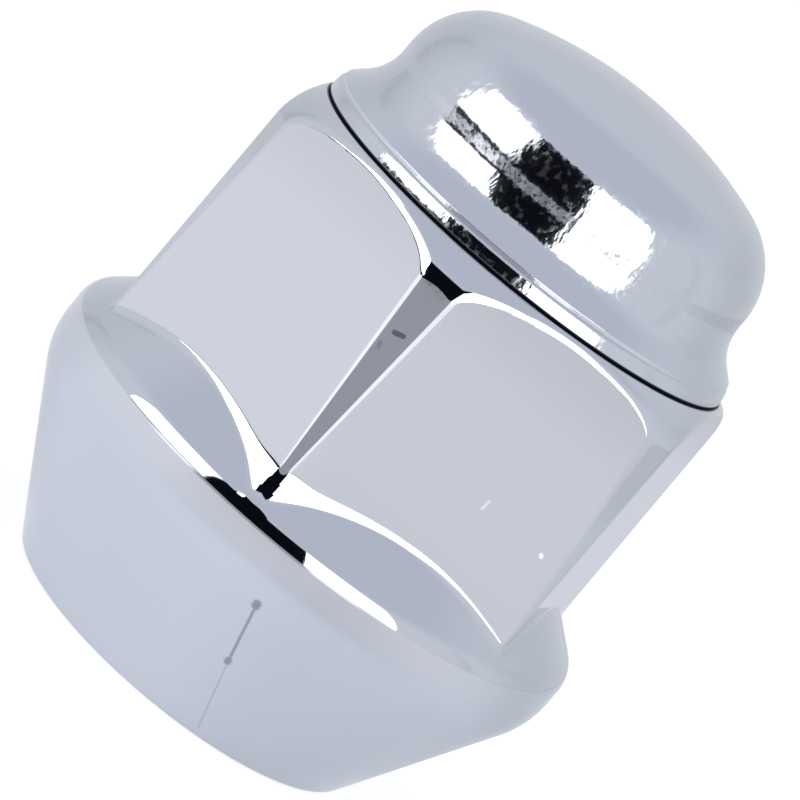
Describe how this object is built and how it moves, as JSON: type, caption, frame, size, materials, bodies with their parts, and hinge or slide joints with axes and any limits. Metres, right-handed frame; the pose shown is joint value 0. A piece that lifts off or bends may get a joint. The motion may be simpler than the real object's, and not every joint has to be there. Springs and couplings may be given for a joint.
{
  "type": "cap nut",
  "caption": "Closed-end wheel nut: a hexagon on a round flange with a conical seat, tapped right through, under a hollow domed cap.",
  "frame": {"origin": "centre of the seat's small end face, on the nut's axis", "axes": "+Z along the axis from the seat to the dome, +X through a corner of the hexagon"},
  "size_m": [0.0256, 0.0256, 0.0304],
  "materials": {
    "body_chrome": "bright plated, with fine handling marks",
    "cap_chrome": "bright plated, mirror polished"
  },
  "bodies": {
    "root": {"nut_body": "body_chrome", "dome_cap": "cap_chrome"}
  },
  "joints": []
}
